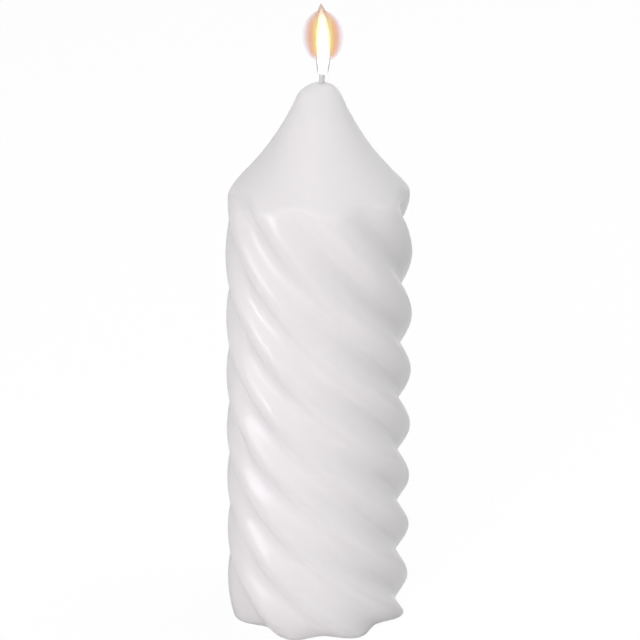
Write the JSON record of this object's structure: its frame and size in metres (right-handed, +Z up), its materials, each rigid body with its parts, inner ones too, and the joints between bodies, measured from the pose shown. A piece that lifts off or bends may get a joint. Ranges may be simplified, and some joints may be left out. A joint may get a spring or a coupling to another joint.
{
  "type": "spiral pillar candle",
  "caption": "Lit white pillar candle with left-hand spiral ridges, a drawn-in pointed tip, a cotton wick and a flame. It stands free on its flat base.",
  "frame": {"origin": "centre of the base, on the surface that the candle stands on", "axes": "+Z up along the wick, -Y towards the front as pictured, +X to the right of that view"},
  "size_m": [0.068, 0.068, 0.234],
  "materials": {
    "core_wax": "matt pressed paraffin wax",
    "jacket_wax": "softly glossy hard white wax",
    "wick_cotton": "braided cotton primed with wax",
    "foot_metal": "tinned sheet steel",
    "flame_body": "luminous, no surface",
    "flame_glow": "luminous veil, no surface"
  },
  "bodies": {
    "root": {"wax_core": "core_wax", "spiral_jacket": "jacket_wax", "wick": "wick_cotton", "wick_sustainer": "foot_metal", "flame": "flame_body", "flame_veil": "flame_glow"}
  },
  "joints": []
}
